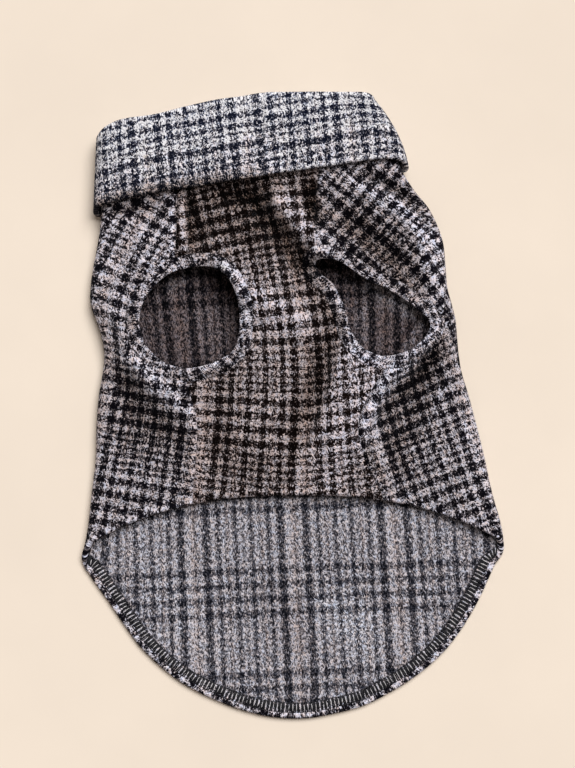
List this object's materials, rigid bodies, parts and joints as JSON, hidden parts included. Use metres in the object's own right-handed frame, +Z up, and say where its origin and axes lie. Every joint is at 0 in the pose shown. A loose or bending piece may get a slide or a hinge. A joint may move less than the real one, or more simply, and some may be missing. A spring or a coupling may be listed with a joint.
{
  "type": "dog sweater",
  "caption": "Small dog's pull-on sweater in brushed check wool with a roll collar, bound armholes and a rounded back hem, laid flat belly side up.",
  "frame": {"origin": "middle of the garment's footprint, on the table it lies on", "axes": "+Z up off the table, +Y from the tail hem to the collar, +X to the right seen from above with the collar away from the viewer"},
  "size_m": [0.2098, 0.3115, 0.0175],
  "materials": {
    "check_wool": "brushed wool flannel in a charcoal, off-white and taupe check"
  },
  "bodies": {
    "root": {"back_panel": "check_wool", "chest_panel": "check_wool", "collar": "check_wool", "armhole_band_left": "check_wool", "armhole_band_right": "check_wool"}
  },
  "joints": []
}
